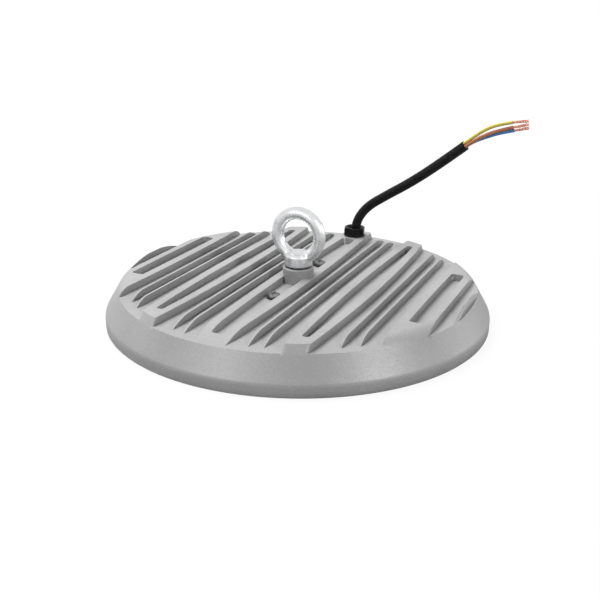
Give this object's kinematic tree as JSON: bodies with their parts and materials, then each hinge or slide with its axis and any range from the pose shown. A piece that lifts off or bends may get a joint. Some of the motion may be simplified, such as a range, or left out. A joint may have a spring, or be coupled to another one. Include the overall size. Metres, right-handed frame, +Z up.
{
  "type": "high bay light",
  "caption": "Round high bay light: a grey die-cast disc with cooling fins on its back, a steel eye bolt to hang it by, a cable gland with a short bare-ended lead, and a flat diffuser.",
  "frame": {"origin": "centre of the housing's open rim, which is the face it rests on", "axes": "+Z up through the eye bolt, +X along the cooling fins towards the cable gland, +Y square to both"},
  "size_m": [0.25, 0.25, 0.1235],
  "materials": {
    "cast_housing": "matte, fine blasted grain",
    "zinc_steel": "bright zinc plated",
    "bright_steel": "bright plated",
    "black_rubber": "matte",
    "black_nylon": "satin",
    "cable_sheath": "satin",
    "green_insulation": "yellow and green",
    "brown_insulation": "brown",
    "blue_insulation": "blue",
    "white_insulation": "white",
    "bare_copper": "bare stranded copper",
    "thermal_pad": "soft grey sheet",
    "led_board": "white coated aluminium board",
    "led_chips": "yellow phosphor",
    "driver_shell": "satin",
    "circuit_board": "green",
    "component_black": "moulded",
    "capacitor_sleeve": "dark sleeve",
    "white_plastic": "moulded",
    "grey_foam": "soft",
    "opal_diffuser": "opal"
  },
  "bodies": {
    "root": {"housing": "cast_housing", "eye_bolt": "zinc_steel", "eye_bolt_seal": "black_rubber", "driver_screws": "bright_steel", "driver_screw_seals": "black_rubber", "gland_gasket": "black_rubber", "gland_body": "black_nylon", "gland_seal": "black_rubber", "gland_nut": "black_nylon", "gland_lock_nut": "black_nylon", "supply_cable": "cable_sheath", "earth_core": "green_insulation", "live_core": "brown_insulation", "neutral_core": "blue_insulation", "earth_strands": "bare_copper", "live_strands": "bare_copper", "neutral_strands": "bare_copper", "inner_live_lead": "brown_insulation", "inner_neutral_lead": "blue_insulation", "inner_earth_lead": "green_insulation", "earth_terminal": "bright_steel", "earth_screw": "bright_steel", "thermal_pad": "thermal_pad", "led_board": "led_board", "led_chips": "led_chips", "board_screws": "bright_steel", "board_connector": "white_plastic", "driver_case": "driver_shell", "driver_cover": "driver_shell", "cover_screws": "bright_steel", "driver_board": "circuit_board", "driver_transformer": "component_black", "driver_choke": "component_black", "driver_capacitors": "capacitor_sleeve", "terminal_block": "white_plastic", "lead_grommet": "black_rubber", "led_leads": "white_insulation", "diffuser_gasket": "grey_foam", "diffuser": "opal_diffuser", "diffuser_screws": "bright_steel"}
  },
  "joints": []
}
